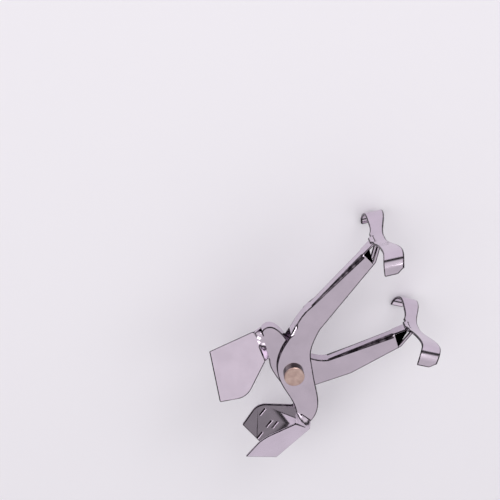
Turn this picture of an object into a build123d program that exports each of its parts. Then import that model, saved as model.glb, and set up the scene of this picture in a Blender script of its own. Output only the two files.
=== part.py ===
from build123d import *
import os
from math import cos, radians, sin

# Champagne cork pliers: two crossed levers of bent chrome-plated sheet steel
# on one big rivet. The outer lever is a channel along +X, and its two ears
# straddle the inner lever, whose channel swings up towards it on closing.
# The rivet's axis is Z, its front head faces +Z, and the origin is the middle
# of that head's flat face. Millimetres.

# Sheet and fits
sheet = 1.2
inner_width = 6.6
washer_thickness = 0.5
face_gap = 0.3
running_clearance = 0.05
overrun = 120.0
inset_points = 14

# Rivet and washers
rivet_shank_diameter = 5.4
rivet_head_diameter = 10.0
rivet_head_height = 3.0
rivet_head_chamfer = 0.35
rivet_tail_diameter = 8.0
rivet_tail_height = 1.3
rivet_tail_round = 1.0
rivet_washer_diameter = 10.4
rivet_washer_thickness = 1.0
thrust_washer_diameter = 11.0

# Outer lever: heights over the pivot, with the handle along +X
opening_angle = 26.5
outer_reach = 68.5
outer_web_rise = 15.0
outer_web_end_rise = 12.3
outer_mouth_rise = 3.9
outer_mouth_end_rise = 4.4
outer_web_root = 32.9
outer_mouth_root = 25.6
outer_web_start = 15.2
outer_ear_reach = 15.5
outer_ear_drop = 23.3
outer_handle_width = 7.6
narrowing_start = 14.0
narrowing_length = 12.0

# Inner lever: drops under the pivot, with the handle along its own +X
inner_reach = 53.0
inner_web_drop = 1.9
inner_web_end_drop = 4.0
inner_mouth_drop = 13.9
inner_mouth_end_drop = 12.1
inner_web_root = 18.1
inner_mouth_root = 25.0
inner_neck_height = 27.6
inner_neck_width = 14.0
inner_pivot_drop = 10.3

# Jaws: two leaning plates that meet in a ridge
jaw_lean = 40.3
jaw_root = 3.9
ridge_length = 27.7
jaw_tip_length = 31.9
jaw_tip_width = 24.3
jaw_shoulder_length = 18.7
jaw_shoulder_width = 27.6
jaw_root_width = 15.0
jaw_shoulder_radius = 11.0
outer_ridge_reach = 17.0
outer_ridge_drop = 27.9
outer_ridge_angle = 171.1
inner_ridge_reach = 4.3
inner_ridge_rise = 26.8
inner_ridge_angle = 179.4

# Teeth punched in each jaw plate
tooth_length = 4.6
tooth_width = 0.9
tooth_height = 0.7
tooth_slant = -10.0

# Handle ends: the walls run out past a window, and the web bends to an anchor
tongue_length = 8.0
tongue_tip = 3.6
tongue_rim = 2.0
window_length = 6.2
stem_length = 7.4
stem_drop = 2.6
stem_half_width = 3.0
stem_bend_radius = 3.0
anchor_tilt = 40.0
anchor_half_span = 35.0
anchor_band = 8.5
anchor_rise = 3.0
anchor_curl_radius = 8.0
anchor_curl_angle = 84.0
fluke_drop = 7.6
fluke_shoulder_drop = 2.4
fluke_sweep = 3.2

# Outlines as shares of the sizes that they follow
outer_back_shares = (
    (1.30, 0.64), (0.88, 0.592), (0.52, 0.562), (0.17, 0.494), (-0.14, 0.378),
    (-0.38, 0.206), (-0.555, 0.00), (-0.70, -0.236), (-0.85, -0.45), (-1.00, -0.59),
)
outer_front_shares = (
    (-1.00, -1.00), (-0.55, -0.94), (-0.24, -0.79), (0.17, -0.48),
    (0.61, -0.16), (0.88, 0.01), (1.18, 0.10),
)
inner_neck_front_shares = ((0.87, 0.06), (0.44, 0.40), (0.345, 0.60), (0.315, 0.70))
inner_neck_top_shares = ((0.23, 0.86), (0.04, 0.99), (-0.14, 1.01))
inner_neck_back_shares = ((-0.50, 0.46), (-0.62, 0.30), (-0.62, 0.12))
inner_pivot_shares = ((-0.48, -0.48), (0.00, -1.00), (0.56, -1.14), (1.19, -1.25))
ear_root_share = 0.59
tooth_shares = ((0.59, 0.91), (0.55, 0.52), (0.62, 0.62), (0.86, 0.56))
anchor_front_shares = (
    (0.00, 0.32), (0.30, 0.44), (0.58, 0.72), (0.84, 0.78), (1.02, 0.52), (1.12, 0.00),
)
anchor_back_shares = (
    (1.12, -0.62), (0.96, -0.46), (0.80, -0.30), (0.54, -0.28), (0.32, -0.32), (0.19, -0.46),
)

inner_half = inner_width / 2
outer_half_inside = inner_half + face_gap + washer_thickness
outer_half = outer_half_inside + sheet
outer_handle_half = outer_handle_width / 2
head_top = outer_half + rivet_head_height

outer_plane = Plane.XY.offset(-head_top)
inner_plane = outer_plane.rotated((0, 0, -opening_angle))


def shared(shares, along, across):
    """Points from shares of two sizes."""
    return [(x_share * along, y_share * across) for x_share, y_share in shares]


def on_line(x, start, end):
    """The height at x of the straight line through two points."""
    return start[1] + (end[1] - start[1]) * (x - start[0]) / (end[0] - start[0])


outer_web_ends = ((outer_web_root, outer_web_rise), (outer_reach, outer_web_end_rise))
outer_mouth_ends = ((outer_mouth_root, outer_mouth_rise), (outer_reach, outer_mouth_end_rise))
inner_web_ends = ((inner_web_root, -inner_web_drop), (inner_reach, -inner_web_end_drop))
inner_mouth_ends = ((inner_mouth_root, -inner_mouth_drop), (inner_reach, -inner_mouth_end_drop))
inner_ridge_root = (-inner_ridge_reach, inner_ridge_rise)


def tongue_corners(web_ends, mouth_ends):
    """Wall corners at a handle's end, from the mouth out to the tip and the web."""
    tip_x = web_ends[1][0] + tongue_length
    tip_y = on_line(tip_x, *web_ends)
    return [mouth_ends[1], (tip_x, tip_y - tongue_tip), (tip_x, tip_y)]


def outer_outline(plane):
    """Side outline of the outer lever's channel, ears and end tongues."""
    back = [outer_web_ends[0]] + shared(outer_back_shares, outer_ear_reach, outer_ear_drop)
    front = shared(outer_front_shares, outer_ear_reach, outer_ear_drop) + [outer_mouth_ends[0]]
    corners = tongue_corners(outer_web_ends, outer_mouth_ends)
    with BuildSketch(plane) as outline:
        with BuildLine():
            Line(corners[-1], back[0])
            Spline(*back)
            Line(back[-1], front[0])
            Spline(*front)
            Polyline(front[-1], *corners)
        make_face()
    return outline.sketch


def inner_web_curve():
    """The inner lever's web line up its neck and over the top to the jaw."""
    neck_front = shared(inner_neck_front_shares, inner_neck_width, inner_neck_height)
    neck_top = shared(inner_neck_top_shares, inner_neck_width, inner_neck_height)
    return Spline(inner_web_ends[0], *neck_front, *neck_top, inner_ridge_root)


def inner_outline(plane):
    """Side outline of the inner lever's channel, neck and end tongues."""
    neck_back = shared(inner_neck_back_shares, inner_neck_width, inner_neck_height)
    pivot = shared(inner_pivot_shares, inner_neck_width, inner_pivot_drop)
    corners = tongue_corners(inner_web_ends, inner_mouth_ends)
    with BuildSketch(plane) as outline:
        with BuildLine():
            Line(corners[-1], inner_web_ends[0])
            inner_web_curve()
            Line(inner_ridge_root, neck_back[0])
            Spline(*neck_back, *pivot, inner_mouth_ends[0])
            Polyline(inner_mouth_ends[0], *corners)
        make_face()
    return outline.sketch


def wall_window(plane, web_ends, mouth_ends):
    """The window in the walls' tongues, between their rim and the web."""
    start_x, mouth_y = mouth_ends[1]
    end_x = start_x + window_length
    corners = tongue_corners(web_ends, mouth_ends)
    rim_y = on_line(end_x, *corners[:2]) + tongue_rim
    with BuildSketch(plane) as window:
        with BuildLine():
            Polyline(
                (start_x, mouth_y + tongue_rim),
                (start_x, on_line(start_x, *web_ends) - sheet),
                (end_x, on_line(end_x, *web_ends) - sheet),
                (end_x, rim_y),
                close=True,
            )
        make_face()
    return window.sketch


def jaw_trough(plane, root, ridge_angle, inward_turn):
    """V-shaped jaw trough: leaning plates cut to their side outline."""
    ridge = plane.x_dir.rotate(Axis.Z, ridge_angle)
    inward = ridge.rotate(Axis.Z, inward_turn)
    origin = plane.from_local_coords(Vector(*root, 0))
    side_plane = Plane(origin=origin, x_dir=ridge, z_dir=ridge.cross(inward))
    end_plane = Plane(origin=origin, x_dir=inward, z_dir=ridge)
    lean_rise = cos(radians(jaw_lean))
    lean_spread = sin(radians(jaw_lean))
    with BuildPart() as trough:
        with BuildSketch(end_plane):
            with BuildLine():
                Polyline(
                    (overrun * lean_rise, overrun * lean_spread),
                    (0, 0),
                    (overrun * lean_rise, -overrun * lean_spread),
                )
            trace(line_width=sheet)
        extrude(amount=overrun)
        with BuildSketch(side_plane):
            with BuildLine():
                Polyline(
                    (jaw_root, -sheet * 2),
                    (ridge_length, -sheet * 2),
                    (ridge_length, 0),
                    (jaw_tip_length, jaw_tip_width * lean_rise),
                    (jaw_shoulder_length, jaw_shoulder_width * lean_rise),
                    (jaw_root, jaw_root_width * lean_rise),
                    close=True,
                )
            make_face()
            fillet(vertices().sort_by(Axis.Y)[-1], jaw_shoulder_radius)
        extrude(amount=overrun, both=True, mode=Mode.INTERSECT)
        for side in (-1, 1):
            slope = inward.rotate(Axis((0, 0, 0), ridge), side * jaw_lean)
            with BuildSketch(Plane(origin=origin, x_dir=ridge, z_dir=ridge.cross(slope))):
                for place in shared(tooth_shares, jaw_tip_length, jaw_tip_width):
                    with Locations(Location(place, tooth_slant)):
                        Rectangle(tooth_length, tooth_width)
            extrude(amount=-side * (sheet / 2 + tooth_height))
    return trough.part


def jaw_strips(plane, root, ridge_angle, inward_turn, wall_ends, wall_middle):
    """Twisted strips that turn both side walls into the leaning jaw plates."""
    ridge = plane.x_dir.rotate(Axis.Z, ridge_angle)
    inward = ridge.rotate(Axis.Z, inward_turn)
    origin = plane.from_local_coords(Vector(*root, 0))
    ridge_end, open_end = (plane.from_local_coords(Vector(*end, 0)) for end in wall_ends)
    wall_dir = open_end - ridge_end
    strips = []
    for side in (-1, 1):
        slope = inward.rotate(Axis((0, 0, 0), ridge), side * jaw_lean)
        rise = 1 if slope.Z > 0 else -1
        wall_origin = (ridge_end + open_end) / 2 + Vector(0, 0, rise * wall_middle)
        wall_normal = wall_dir.rotate(Axis.Z, -inward_turn)
        plate_origin = origin + ridge * jaw_root + slope * (jaw_root_width / 2)
        with BuildPart() as strip:
            with BuildSketch(Plane(origin=wall_origin, x_dir=wall_dir, z_dir=wall_normal)):
                Rectangle(wall_dir.length, sheet)
            with BuildSketch(Plane(origin=plate_origin, x_dir=slope, z_dir=ridge)):
                Rectangle(jaw_root_width, sheet)
            loft()
        strips.append(strip.part)
    return strips


def anchor(middle, along):
    """Anchor-shaped end: a sheet with two raised arms and flukes that curl down."""
    flat = anchor_half_span - anchor_curl_radius
    side_plane = Plane(origin=middle, x_dir=along, z_dir=(0, 0, 1))
    curl_plane = Plane(origin=middle, x_dir=(0, 0, 1), z_dir=-side_plane.x_dir)
    plan_plane = Plane(origin=middle, x_dir=(0, 0, 1), z_dir=side_plane.y_dir)
    front = shared(anchor_front_shares, anchor_half_span, anchor_band)
    back = shared(anchor_back_shares, anchor_half_span, anchor_band)
    stem = (stem_half_width, -stem_drop * 2)
    with BuildPart() as end:
        with BuildSketch(curl_plane):
            with BuildLine():
                arm = Spline((0, 0), (flat, anchor_rise), tangents=((1, 0), (1, 0)))
                JernArc(arm @ 1, arm % 1, anchor_curl_radius, -anchor_curl_angle)
                mirror(about=Plane.YZ)
            trace(line_width=sheet)
        extrude(amount=anchor_band, both=True)
        with BuildSketch(plan_plane):
            with BuildLine():
                Spline(*front)
                Line(front[-1], back[0])
                Spline(*back)
                Spline(back[-1], stem, tangents=((-1, 0), (0, -1)))
                Line(stem, (0, stem[1]))
                mirror(about=Plane.YZ)
            make_face()
        extrude(amount=overrun, both=True, mode=Mode.INTERSECT)
        with BuildSketch(side_plane):
            with BuildLine():
                Polyline(
                    (-overrun, overrun),
                    (overrun, overrun),
                    (overrun, -sheet),
                    (anchor_band, -sheet),
                    (anchor_band / 2, -fluke_shoulder_drop),
                    (-fluke_sweep, -fluke_drop),
                    (-overrun, -fluke_drop),
                    close=True,
                )
            make_face()
        extrude(amount=overrun, both=True, mode=Mode.INTERSECT)
    return end.part


def stem_and_anchor(plane, web_ends):
    """The web's strip past the side walls, bent over to its anchor."""
    reach = web_ends[1][0]
    start = (reach, on_line(reach, *web_ends) - sheet / 2)
    bend_x = reach + stem_length
    bend = (bend_x, on_line(bend_x, *web_ends) - sheet / 2)
    drop_x = bend_x + stem_drop * cos(radians(anchor_tilt))
    drop = (drop_x, bend[1] - stem_drop * sin(radians(anchor_tilt)))
    claws = anchor(plane.from_local_coords(Vector(*drop, 0)), plane.x_dir.rotate(Axis.Z, -anchor_tilt))
    with BuildPart() as strip:
        with BuildSketch(plane):
            with BuildLine():
                FilletPolyline(start, bend, drop, radius=stem_bend_radius)
            trace(line_width=sheet)
        extrude(amount=stem_half_width, both=True)
        add(claws)
    return strip.part


def narrowed_plan(plane, ear_half, handle_half):
    """Plan outline of the outer lever, drawn in from its ears to its handle."""
    narrow_x = narrowing_start + narrowing_length
    with BuildSketch(Plane(origin=plane.origin, x_dir=plane.x_dir, z_dir=-plane.y_dir)) as plan:
        with BuildLine():
            Polyline(
                (-overrun, -ear_half),
                (narrowing_start, -ear_half),
                (narrow_x, -handle_half),
                (overrun, -handle_half),
                (overrun, handle_half),
                (narrow_x, handle_half),
                (narrowing_start, ear_half),
                (-overrun, ear_half),
                close=True,
            )
        make_face()
    return plan.sketch


def outer_channel_hollow(plane):
    """Hollow of the outer lever: all but its web and side walls."""
    web_in = [(x, on_line(x, *outer_web_ends) - sheet) for x in (overrun, outer_web_root)]
    bend_in = [(x, y - sheet) for x, y in shared(outer_back_shares[:2], outer_ear_reach, outer_ear_drop)]
    with BuildPart() as hollow:
        with BuildSketch(plane):
            with BuildLine():
                Polyline(
                    *web_in,
                    bend_in[0],
                    (outer_web_start, on_line(outer_web_start, *bend_in)),
                    (outer_web_start, overrun),
                    (-overrun, overrun),
                    (-overrun, -overrun),
                    (overrun, -overrun),
                    close=True,
                )
            make_face()
        extrude(amount=outer_half_inside, both=True)
        extrude(outer_plan_inside, amount=overrun, both=True, mode=Mode.INTERSECT)
    return hollow.part


def inner_channel_hollow(plane):
    """Hollow of the inner lever: all but its web and side walls."""
    web_in_end = (overrun, on_line(overrun, *inner_web_ends) - sheet)
    curve = inner_web_curve()
    steps = [index / (inset_points - 1) for index in range(inset_points)]
    inset = [curve @ step + (curve % step).rotate(Axis.Z, 90) * sheet for step in steps]
    with BuildSketch(plane) as hollow:
        with BuildLine():
            Line(web_in_end, inset[0])
            Spline(*inset)
            Polyline(
                inset[-1],
                (-overrun, inset[-1].Y),
                (-overrun, -overrun),
                (overrun, -overrun),
                web_in_end,
            )
        make_face()
    return hollow.sketch


outer_side = outer_outline(outer_plane)
outer_plan = narrowed_plan(outer_plane, outer_half, outer_handle_half)
outer_plan_inside = narrowed_plan(outer_plane, outer_half_inside, outer_handle_half - sheet)
outer_hollow = outer_channel_hollow(outer_plane)
outer_window = wall_window(outer_plane, outer_web_ends, outer_mouth_ends)
outer_anchor = stem_and_anchor(outer_plane, outer_web_ends)
outer_ridge_root = (-outer_ridge_reach, -outer_ridge_drop)
outer_ear_end = ((-outer_ear_reach, -outer_ear_drop), (-outer_ear_reach, -outer_ear_drop * ear_root_share))
outer_trough = jaw_trough(outer_plane, outer_ridge_root, outer_ridge_angle, -90)
outer_strips = jaw_strips(
    outer_plane, outer_ridge_root, outer_ridge_angle, -90, outer_ear_end, outer_half - sheet / 2
)

with BuildPart() as outer_lever:
    extrude(outer_side, amount=outer_half, both=True)
    extrude(outer_plan, amount=overrun, both=True, mode=Mode.INTERSECT)
    add(outer_hollow, mode=Mode.SUBTRACT)
    extrude(outer_window, amount=outer_half, both=True, mode=Mode.SUBTRACT)
    for strip in outer_strips:
        add(strip)
    add(outer_trough)
    add(outer_anchor)
    with Locations(outer_plane.origin):
        Cylinder(rivet_shank_diameter / 2 + running_clearance, overrun, mode=Mode.SUBTRACT)

inner_side = inner_outline(inner_plane)
inner_hollow = inner_channel_hollow(inner_plane)
inner_window = wall_window(inner_plane, inner_web_ends, inner_mouth_ends)
inner_anchor = stem_and_anchor(inner_plane, inner_web_ends)
inner_neck_end = (inner_ridge_root, shared(inner_neck_back_shares, inner_neck_width, inner_neck_height)[0])
inner_trough = jaw_trough(inner_plane, inner_ridge_root, inner_ridge_angle, 90)
inner_strips = jaw_strips(
    inner_plane, inner_ridge_root, inner_ridge_angle, 90, inner_neck_end, inner_half - sheet / 2
)

with BuildPart() as inner_lever:
    extrude(inner_side, amount=inner_half, both=True)
    extrude(inner_hollow, amount=inner_half - sheet, both=True, mode=Mode.SUBTRACT)
    extrude(inner_window, amount=inner_half, both=True, mode=Mode.SUBTRACT)
    add(inner_trough)
    for strip in inner_strips:
        add(strip)
    add(inner_anchor)
    with Locations(inner_plane.origin):
        Cylinder(rivet_shank_diameter / 2 + running_clearance, overrun, mode=Mode.SUBTRACT)

with BuildPart() as pivot_rivet:
    Cylinder(
        rivet_head_diameter / 2,
        rivet_head_height,
        align=(Align.CENTER, Align.CENTER, Align.MAX),
    )
    chamfer(faces().sort_by(Axis.Z)[-1].edges(), rivet_head_chamfer)
    with BuildSketch(Plane.XY.offset(-rivet_head_height)):
        Circle(rivet_shank_diameter / 2)
    extrude(amount=-(2 * outer_half + rivet_washer_thickness))
    with BuildSketch(Plane.XY.offset(-head_top - outer_half - rivet_washer_thickness)):
        Circle(rivet_tail_diameter / 2)
    extrude(amount=-rivet_tail_height)
    fillet(faces().sort_by(Axis.Z)[0].edges(), rivet_tail_round)


def washer(bottom, diameter, thickness):
    """A flat ring on the rivet's shank, from a height upwards."""
    with BuildPart() as ring:
        with BuildSketch(Plane.XY.offset(bottom)):
            Circle(diameter / 2)
            Circle(rivet_shank_diameter / 2 + running_clearance, mode=Mode.SUBTRACT)
        extrude(amount=thickness)
    return ring


rivet_washer_bottom = -head_top - outer_half - rivet_washer_thickness
rivet_washer = washer(rivet_washer_bottom, rivet_washer_diameter, rivet_washer_thickness)
front_thrust_washer = washer(-head_top + inner_half + face_gap, thrust_washer_diameter, washer_thickness)
rear_thrust_washer = washer(-head_top - outer_half_inside, thrust_washer_diameter, washer_thickness)

outer_lever.part.label = "outer_lever"
inner_lever.part.label = "inner_lever"
pivot_rivet.part.label = "pivot_rivet"
rivet_washer.part.label = "rivet_washer"
front_thrust_washer.part.label = "front_thrust_washer"
rear_thrust_washer.part.label = "rear_thrust_washer"

os.makedirs("parts", exist_ok=True)
export_step(outer_lever.part, "parts/outer_lever.step")
export_step(inner_lever.part, "parts/inner_lever.step")
export_step(pivot_rivet.part, "parts/pivot_rivet.step")
export_step(rivet_washer.part, "parts/rivet_washer.step")
export_step(front_thrust_washer.part, "parts/front_thrust_washer.step")
export_step(rear_thrust_washer.part, "parts/rear_thrust_washer.step")
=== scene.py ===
from collections import namedtuple
from math import cos, radians, sin

import bmesh
import bpy
from mathutils import Matrix, Vector


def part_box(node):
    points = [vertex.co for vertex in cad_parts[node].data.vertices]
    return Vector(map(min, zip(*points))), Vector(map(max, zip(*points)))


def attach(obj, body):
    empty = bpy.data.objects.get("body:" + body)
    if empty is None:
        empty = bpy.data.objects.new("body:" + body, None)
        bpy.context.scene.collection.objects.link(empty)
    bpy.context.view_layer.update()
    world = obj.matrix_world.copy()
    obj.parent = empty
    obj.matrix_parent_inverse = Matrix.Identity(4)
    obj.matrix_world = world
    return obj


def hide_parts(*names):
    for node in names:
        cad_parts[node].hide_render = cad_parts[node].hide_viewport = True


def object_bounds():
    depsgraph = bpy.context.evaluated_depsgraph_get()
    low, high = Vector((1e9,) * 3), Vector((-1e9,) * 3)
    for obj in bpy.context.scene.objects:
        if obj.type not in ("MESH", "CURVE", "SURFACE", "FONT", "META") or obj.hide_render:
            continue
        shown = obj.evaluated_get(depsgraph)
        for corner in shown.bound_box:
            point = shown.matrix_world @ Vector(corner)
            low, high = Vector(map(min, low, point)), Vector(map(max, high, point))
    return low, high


MM = 0.001

# The photograph's camera, with its focal length and centre in pixels of a 500 px frame
IMAGE_WIDTH = 500
FOCAL_PIXELS = 1112.0
CENTRE_PIXELS = (312.5, 327.2)
CAMERA_DISTANCE = 538.7 * MM
CAMERA_AZIMUTH = radians(-5.5)
CAMERA_ELEVATION = radians(25.1)
CAMERA_ROLL = radians(-0.7)
AIM_RIGHT = 10.0 * MM
AIM_UP = 22.3 * MM
HANDLE_LEAN = radians(50.5)
SENSOR_WIDTH = 36.0
CLIP_START = 10 * MM

# Metals: the stretched grain of the chrome, the rings of turned parts, and painted shade on the rivet
# below its face
GRAIN_STRETCH = (60.0, 900.0, 900.0)
GRAIN_DETAIL = 3.0
RING_SCALE = 700.0
RING_DISTORTION = 1.5
RIVET_FACE_DEPTH = 0.3 * MM
PAINTED_SHADE_FULL_DEPTHS = 2
# Painted shade: the rivet is darkened below its face, where the hole's edge shades it
RIVET_PAINTED_SHADE = (0.045, 0.032, 0.030, 1)

# Room: each band is a height, from 0 straight down to 1 straight up, and its grey
LOWEST_COLOUR = (0.40, 0.39, 0.41, 1)
HIGHEST_COLOUR = (0.66, 0.65, 0.66, 1)
BANDS = ((0.46, 0.40), (0.50, 0.05), (0.60, 0.05), (0.68, 0.84), (0.80, 0.90), (0.93, 0.67))
BAND_GREEN_SHARE = 0.98
DARK_SIDE = (-0.78, 0.40, 0.48)
DARK_SIDE_LEAST = 0.94
DARK_SIDE_FULL = 0.975
DARK_SIDE_SHARE = 0.32
FLOOR_GAP = 0.4 * MM
FLOOR_SIZE = 6.0
FLOOR_COLOUR = (0.85, 0.83, 0.87, 1)
FLOOR_ROUGHNESS = 0.7

# Softboxes: name, place by right, up and out, side, power and colour
SOFTBOXES = (
    ("key_softbox", (0.30, 0.80, 0.55), 0.50, 1.6, (1.0, 0.98, 0.98)),
    ("fill_softbox", (0.75, 0.05, 0.55), 0.45, 0.7, (0.98, 0.97, 1.0)),
    ("bend_light", (-0.43, 0.29, 0.85), 0.56, 2.1, (1.0, 1.0, 1.0)),
)

# Sheet edges, and the bends between a lever's web and its walls; the rounded edges, the middle of the
# bends and the teeth's tops carry a painted dark reflection
EDGE_ROUNDING = 0.55 * MM
EDGE_SEGMENTS = 4
# Material slot of the painted dark reflection on edges, bends and the teeth's tops
DARK_EDGE_SLOT = 1
BEND_RADIUS = 1.6 * MM
BEND_SEGMENTS = 6
# Bend faces tilted this much get the painted dark reflection
BEND_DARK_REFLECTION_FACING = (0.05, 0.85)
SMALL_FACE = 5.0 * MM * MM
TOOTH_LENGTH = 4.6 * MM
TOOTH_WIDTH = 0.9 * MM
TOOTH_TOLERANCE = 0.12 * MM * MM
TOOTH_ROUNDING_SHARE = 0.35
OPENING_ANGLE = radians(26.5)
OUTER_HANDLE = Vector((1, 0, 0))
INNER_HANDLE = Vector((cos(OPENING_ANGLE), -sin(OPENING_ANGLE), 0))
OUTER_BEND_END = 67.0 * MM
INNER_BEND_END = 51.5 * MM
WEB_WIDTH_LEAST = 3.0 * MM
WALL_FACING = 0.97
WEB_FACING = 0.3
MERGE_DISTANCE = 0.01 * MM
SHORTEST_EDGE = 0.03 * MM
FLAT_ANGLE = radians(0.6)
SHARP_ANGLE = radians(28)
NORMAL_WEIGHT = 90
STORED_SHADING = ("custom_normal", "sharp_face")

Metal = namedtuple("Metal", "material nodes links shader place clouds tint bump")

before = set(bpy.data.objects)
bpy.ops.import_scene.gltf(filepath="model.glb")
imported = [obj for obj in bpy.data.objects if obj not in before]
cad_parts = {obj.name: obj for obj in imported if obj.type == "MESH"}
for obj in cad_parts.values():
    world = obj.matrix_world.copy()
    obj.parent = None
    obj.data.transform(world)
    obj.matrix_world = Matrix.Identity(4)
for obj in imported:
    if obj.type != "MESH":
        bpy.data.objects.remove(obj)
cad_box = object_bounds()


def photo_direction(right, up, out):
    """A direction given as right, up and towards the viewer, in the part's axes."""
    lean = Matrix.Rotation(-HANDLE_LEAN, 3, "Z")
    return lean @ Vector((right, up, out))


def add_camera():
    """The photograph's view, aimed near the levers' middle plane."""
    lever_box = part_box("outer_lever")
    lever_middle = (lever_box[0][2] + lever_box[1][2]) / 2
    aim = photo_direction(AIM_RIGHT, AIM_UP, 0) + Vector((0, 0, lever_middle))
    towards = photo_direction(
        sin(CAMERA_AZIMUTH),
        sin(CAMERA_ELEVATION) * cos(CAMERA_AZIMUTH),
        cos(CAMERA_ELEVATION) * cos(CAMERA_AZIMUTH),
    )
    data = bpy.data.cameras.new("photo_camera")
    data.sensor_width = SENSOR_WIDTH
    data.lens = FOCAL_PIXELS * SENSOR_WIDTH / IMAGE_WIDTH
    data.shift_x = 0.5 - CENTRE_PIXELS[0] / IMAGE_WIDTH
    data.shift_y = CENTRE_PIXELS[1] / IMAGE_WIDTH - 0.5
    data.clip_start = CLIP_START
    camera = bpy.data.objects.new("photo_camera", data)
    bpy.context.scene.collection.objects.link(camera)
    backward = towards.normalized()
    right = photo_direction(0, 1, 0).cross(backward).normalized()
    upward = backward.cross(right)
    turned_right = right * cos(CAMERA_ROLL) + upward * sin(CAMERA_ROLL)
    turned_up = upward * cos(CAMERA_ROLL) - right * sin(CAMERA_ROLL)
    axes = Matrix((turned_right, turned_up, backward)).transposed().to_4x4()
    camera.matrix_world = Matrix.Translation(aim + towards * CAMERA_DISTANCE) @ axes
    bpy.context.scene.camera = camera


def new_material(name):
    """A new material and its node tree."""
    material = bpy.data.materials.new(name)
    material.use_nodes = True
    return material, material.node_tree


def add_noise(nodes, scale, detail):
    """A soft cloudy pattern."""
    pattern = nodes.new("ShaderNodeTexNoise")
    pattern.inputs["Scale"].default_value = scale
    pattern.inputs["Detail"].default_value = detail
    return pattern


def cloudy_metal(name, clouds, dark, light, rough, relief):
    """A metal whose tint and gloss vary in soft clouds.

    Clouds holds the pattern's scale and detail, dark and light each a place on
    the colour ramp and a colour, rough the least and most roughness, and relief
    the bump's strength and depth. The caller joins the tint to the base colour
    and a pattern to the bump.
    """
    material, tree = new_material(name)
    nodes = tree.nodes
    links = tree.links
    shader = nodes["Principled BSDF"]
    shader.inputs["Metallic"].default_value = 1.0
    place = nodes.new("ShaderNodeTexCoord")
    pattern = add_noise(nodes, *clouds)
    tint = nodes.new("ShaderNodeValToRGB")
    for index, (position, colour) in enumerate((dark, light)):
        stop = tint.color_ramp.elements[index]
        stop.position = position
        stop.color = colour
    gloss = nodes.new("ShaderNodeMapRange")
    gloss.inputs["To Min"].default_value = rough[0]
    gloss.inputs["To Max"].default_value = rough[1]
    bump = nodes.new("ShaderNodeBump")
    bump.inputs["Strength"].default_value = relief[0]
    bump.inputs["Distance"].default_value = relief[1]
    links.new(place.outputs["Object"], pattern.inputs["Vector"])
    links.new(pattern.outputs["Fac"], tint.inputs["Fac"])
    links.new(pattern.outputs["Fac"], gloss.inputs["Value"])
    links.new(gloss.outputs["Result"], shader.inputs["Roughness"])
    links.new(bump.outputs["Normal"], shader.inputs["Normal"])
    return Metal(material, nodes, links, shader, place, pattern, tint, bump)


def chrome_plate():
    """Mirror chrome with a faint pink cast, soft grain and rubbed patches."""
    metal = cloudy_metal(
        "chrome_plate",
        clouds=(90.0, 5.0),
        dark=(0.35, (0.63, 0.55, 0.64, 1)),
        light=(0.70, (0.70, 0.61, 0.71, 1)),
        rough=(0.07, 0.16),
        relief=(0.05, 0.05 * MM),
    )
    stretch = metal.nodes.new("ShaderNodeMapping")
    stretch.inputs["Scale"].default_value = GRAIN_STRETCH
    grain = add_noise(metal.nodes, 1.0, GRAIN_DETAIL)
    metal.links.new(metal.tint.outputs["Color"], metal.shader.inputs["Base Color"])
    metal.links.new(metal.place.outputs["Object"], stretch.inputs["Vector"])
    metal.links.new(stretch.outputs["Vector"], grain.inputs["Vector"])
    metal.links.new(grain.outputs["Fac"], metal.bump.inputs["Height"])
    return metal.material


def dark_edge_reflection():
    """Painted dark reflection for sheared edges, bends and the tops of teeth, in soft clouds."""
    metal = cloudy_metal(
        "dark_edge_reflection",
        clouds=(260.0, 6.0),
        dark=(0.45, (0.018, 0.014, 0.018, 1)),
        light=(0.85, (0.24, 0.20, 0.24, 1)),
        rough=(0.18, 0.34),
        relief=(0.10, 0.04 * MM),
    )
    metal.links.new(metal.tint.outputs["Color"], metal.shader.inputs["Base Color"])
    metal.links.new(metal.clouds.outputs["Fac"], metal.bump.inputs["Height"])
    return metal.material


def add_painted_shade(metal, face_depth):
    """Darken a metal with painted shade below the face on top of it."""
    split = metal.nodes.new("ShaderNodeSeparateXYZ")
    depth = metal.nodes.new("ShaderNodeMapRange")
    depth.inputs["From Min"].default_value = -PAINTED_SHADE_FULL_DEPTHS * face_depth
    depth.inputs["From Max"].default_value = -face_depth
    shade = metal.nodes.new("ShaderNodeMix")
    shade.data_type = "RGBA"
    shade.inputs["A"].default_value = RIVET_PAINTED_SHADE
    metal.links.new(metal.place.outputs["Object"], split.inputs["Vector"])
    metal.links.new(split.outputs["Z"], depth.inputs["Value"])
    metal.links.new(depth.outputs["Result"], shade.inputs["Factor"])
    metal.links.new(metal.tint.outputs["Color"], shade.inputs["B"])
    metal.links.new(shade.outputs["Result"], metal.shader.inputs["Base Color"])


def turned_metal(name, dark, light, rough, face_depth=None):
    """Metal turned on a lathe about the rivet's axis, with fine rings.

    With a face depth, the metal deeper than that is darkened with painted shade.
    """
    metal = cloudy_metal(
        name,
        clouds=(350.0, 5.0),
        dark=(0.30, dark),
        light=(0.75, light),
        rough=rough,
        relief=(0.12, 0.05 * MM),
    )
    rings = metal.nodes.new("ShaderNodeTexWave")
    rings.wave_type = "RINGS"
    rings.rings_direction = "Z"
    rings.inputs["Scale"].default_value = RING_SCALE
    rings.inputs["Distortion"].default_value = RING_DISTORTION
    metal.links.new(metal.place.outputs["Object"], rings.inputs["Vector"])
    metal.links.new(rings.outputs["Fac"], metal.bump.inputs["Height"])
    if face_depth is None:
        metal.links.new(metal.tint.outputs["Color"], metal.shader.inputs["Base Color"])
    else:
        add_painted_shade(metal, face_depth)
    return metal.material


def pale_floor():
    """The floor's matt, nearly white finish."""
    material, tree = new_material("pale_floor")
    shader = tree.nodes["Principled BSDF"]
    shader.inputs["Base Color"].default_value = FLOOR_COLOUR
    shader.inputs["Roughness"].default_value = FLOOR_ROUGHNESS
    return material


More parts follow.
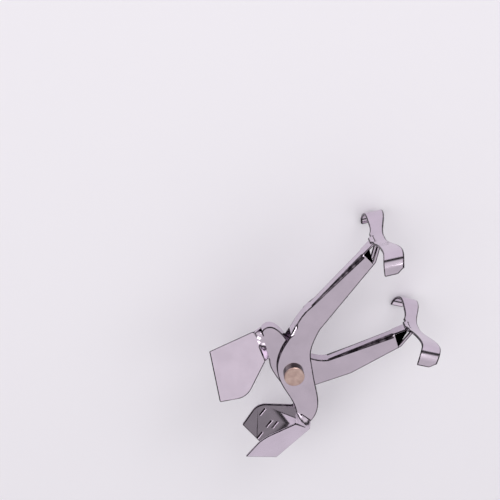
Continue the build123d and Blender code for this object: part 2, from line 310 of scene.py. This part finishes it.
def add_floor(height):
    """A plain pale floor at a height, which isn't part of the object."""
    mesh = bmesh.new()
    bmesh.ops.create_grid(mesh, x_segments=1, y_segments=1, size=FLOOR_SIZE / 2)
    bmesh.ops.translate(mesh, verts=mesh.verts, vec=(0, 0, height))
    data = bpy.data.meshes.new("studio_floor")
    mesh.to_mesh(data)
    mesh.free()
    data.materials.append(pale_floor())
    floor = bpy.data.objects.new("studio_floor", data)
    bpy.context.scene.collection.objects.link(floor)


def add_lamp(name, place, size, power, colour):
    """A square softbox aimed at the rivet, placed by the photograph's directions."""
    data = bpy.data.lights.new(name, "AREA")
    data.shape = "SQUARE"
    data.size = size
    data.energy = power
    data.color = colour
    lamp = bpy.data.objects.new(name, data)
    bpy.context.scene.collection.objects.link(lamp)
    location = photo_direction(*place)
    lamp.location = location
    lamp.rotation_euler = location.to_track_quat("Z", "Y").to_euler()


def add_world():
    """The studio round the object: grey bands by height, and a dimmer patch."""
    world = bpy.data.worlds.new("studio")
    bpy.context.scene.world = world
    world.use_nodes = True
    nodes = world.node_tree.nodes
    links = world.node_tree.links
    place = nodes.new("ShaderNodeTexCoord")
    split = nodes.new("ShaderNodeSeparateXYZ")
    bands = nodes.new("ShaderNodeValToRGB")
    ramp = bands.color_ramp
    ramp.elements[0].position = 0.0
    ramp.elements[0].color = LOWEST_COLOUR
    ramp.elements[1].position = 1.0
    ramp.elements[1].color = HIGHEST_COLOUR
    for band_height, grey in BANDS:
        stop = ramp.elements.new(band_height)
        stop.color = (grey, grey * BAND_GREEN_SHARE, grey, 1)
    height = nodes.new("ShaderNodeMapRange")
    height.inputs["From Min"].default_value = -1.0
    background = nodes["Background"]
    background.inputs["Strength"].default_value = 1.0
    links.new(place.outputs["Generated"], split.inputs["Vector"])
    links.new(split.outputs["Z"], height.inputs["Value"])
    links.new(height.outputs["Result"], bands.inputs["Fac"])
    facing = nodes.new("ShaderNodeVectorMath")
    facing.operation = "DOT_PRODUCT"
    facing.inputs[1].default_value = photo_direction(*DARK_SIDE).normalized()
    dimming = nodes.new("ShaderNodeMapRange")
    dimming.inputs["From Min"].default_value = DARK_SIDE_LEAST
    dimming.inputs["From Max"].default_value = DARK_SIDE_FULL
    dimming.inputs["To Min"].default_value = 1.0
    dimming.inputs["To Max"].default_value = DARK_SIDE_SHARE
    dimmed = nodes.new("ShaderNodeVectorMath")
    dimmed.operation = "SCALE"
    links.new(place.outputs["Generated"], facing.inputs[0])
    links.new(facing.outputs["Value"], dimming.inputs["Value"])
    links.new(bands.outputs["Color"], dimmed.inputs[0])
    links.new(dimming.outputs["Result"], dimmed.inputs["Scale"])
    links.new(dimmed.outputs["Vector"], background.inputs["Color"])


def middle_of(edge):
    """The middle of an edge."""
    return (edge.verts[0].co + edge.verts[1].co) / 2


def is_bend(edge):
    """Whether an edge runs between a side wall and the full width of the web."""
    if len(edge.link_faces) != 2:
        return False
    wall, web = sorted(edge.link_faces, key=lambda face: -abs(face.normal.z))
    heights = [corner.co.z for corner in web.verts]
    wide = max(heights) - min(heights) > WEB_WIDTH_LEAST
    return abs(wall.normal.z) > WALL_FACING and abs(web.normal.z) < WEB_FACING and wide and edge.is_convex


def rounding_share(edge, handle):
    """How much of the edge rounding an edge gets: none in the twists behind a jaw."""
    if len(edge.link_faces) != 2 or not edge.is_convex or edge.calc_face_angle() < SHARP_ANGLE:
        return 0.0
    in_jaw = middle_of(edge).dot(handle) < 0
    if in_jaw and max(face.calc_area() for face in edge.link_faces) < SMALL_FACE:
        return 0.0
    return 1.0


def is_tooth_top(face, handle):
    """Whether a face is the flat top of a tooth."""
    in_jaw = face.calc_center_median().dot(handle) < 0
    area_off = abs(face.calc_area() - TOOTH_LENGTH * TOOTH_WIDTH)
    return in_jaw and len(face.verts) == 4 and area_off < TOOTH_TOLERANCE


def round_bends(mesh, handle, bend_end):
    """Round the web's bends as far as the handle's end, and paint a dark reflection on the middle of
    their curve.
    """
    bmesh.ops.bisect_plane(
        mesh,
        geom=mesh.verts[:] + mesh.edges[:] + mesh.faces[:],
        plane_co=handle * bend_end,
        plane_no=handle,
    )
    before_end = [edge for edge in mesh.edges if middle_of(edge).dot(handle) < bend_end]
    bends = bmesh.ops.bevel(
        mesh,
        geom=[edge for edge in before_end if is_bend(edge)],
        offset=BEND_RADIUS,
        offset_type="OFFSET",
        affect="EDGES",
        segments=BEND_SEGMENTS,
        profile=0.5,
        clamp_overlap=False,
        material=-1,
    )
    for face in bends["faces"]:
        if BEND_DARK_REFLECTION_FACING[0] < abs(face.normal.z) < BEND_DARK_REFLECTION_FACING[1]:
            face.material_index = DARK_EDGE_SLOT


def mark_edges(mesh, handle):
    """Say how much each edge is rounded, and give the teeth's tops the edges' painted dark reflection."""
    rounding = mesh.edges.layers.float.new("bevel_weight_edge")
    for edge in mesh.edges:
        edge[rounding] = rounding_share(edge, handle)
        edge.smooth = edge[rounding] > 0 or edge.calc_face_angle(0) < SHARP_ANGLE
    for top in [face for face in mesh.faces if is_tooth_top(face, handle)]:
        for edge in top.edges:
            edge[rounding] = TOOTH_ROUNDING_SHARE
        top.material_index = DARK_EDGE_SLOT


def add_edge_rounding(piece):
    """Round the marked edges with the painted dark reflection, and keep the flat plates flat."""
    bevel = piece.modifiers.new("rounded_edges", "BEVEL")
    bevel.width = EDGE_ROUNDING
    bevel.segments = EDGE_SEGMENTS
    bevel.limit_method = "WEIGHT"
    bevel.use_clamp_overlap = False
    bevel.loop_slide = False
    bevel.material = DARK_EDGE_SLOT
    flats = piece.modifiers.new("flat_plates", "WEIGHTED_NORMAL")
    flats.mode = "FACE_AREA"
    flats.weight = NORMAL_WEIGHT


def rounded_copy(node, finishes, body, handle, bend_end):
    """A node's own shape with its bends and its sheared sheet edges rounded over."""
    mesh = bmesh.new()
    mesh.from_mesh(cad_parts[node].data)
    bmesh.ops.remove_doubles(mesh, verts=mesh.verts, dist=MERGE_DISTANCE)
    bmesh.ops.dissolve_limit(mesh, angle_limit=FLAT_ANGLE, verts=mesh.verts, edges=mesh.edges)
    bmesh.ops.dissolve_degenerate(mesh, dist=SHORTEST_EDGE, edges=mesh.edges)
    round_bends(mesh, handle, bend_end)
    bmesh.ops.dissolve_degenerate(mesh, dist=SHORTEST_EDGE, edges=mesh.edges)
    mark_edges(mesh, handle)
    data = bpy.data.meshes.new(node + "_plated")
    mesh.to_mesh(data)
    mesh.free()
    for stored in STORED_SHADING:
        if stored in data.attributes:
            data.attributes.remove(data.attributes[stored])
    for finish in finishes:
        data.materials.append(finish)
    piece = bpy.data.objects.new(node + "_plated", data)
    bpy.context.scene.collection.objects.link(piece)
    add_edge_rounding(piece)
    for polygon in data.polygons:
        polygon.use_smooth = True
    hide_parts(node)
    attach(piece, body)


def finish_node(node, material):
    """Give a CAD node its finish, with its shape as it is."""
    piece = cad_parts[node]
    piece.data.materials.clear()
    piece.data.materials.append(material)


bpy.context.scene.view_settings.view_transform = "Standard"
add_camera()
add_floor(cad_box[0][2] - FLOOR_GAP)
add_world()
for softbox in SOFTBOXES:
    add_lamp(*softbox)

chrome = chrome_plate()
# Painted dark reflection for the rounded edges, the middle of the bends and the teeth's tops
edges = dark_edge_reflection()
copper = turned_metal(
    "copper_rivet",
    dark=(0.52, 0.35, 0.31, 1),
    light=(0.76, 0.57, 0.51, 1),
    rough=(0.22, 0.38),
    face_depth=RIVET_FACE_DEPTH,
)
steel = turned_metal(
    "plain_steel",
    dark=(0.42, 0.42, 0.44, 1),
    light=(0.60, 0.60, 0.62, 1),
    rough=(0.25, 0.42),
)
rounded_copy("outer_lever", (chrome, edges), "outer", OUTER_HANDLE, OUTER_BEND_END)
rounded_copy("inner_lever", (chrome, edges), "inner", INNER_HANDLE, INNER_BEND_END)
finish_node("pivot_rivet", copper)
for washer in ("rivet_washer", "front_thrust_washer", "rear_thrust_washer"):
    finish_node(washer, steel)
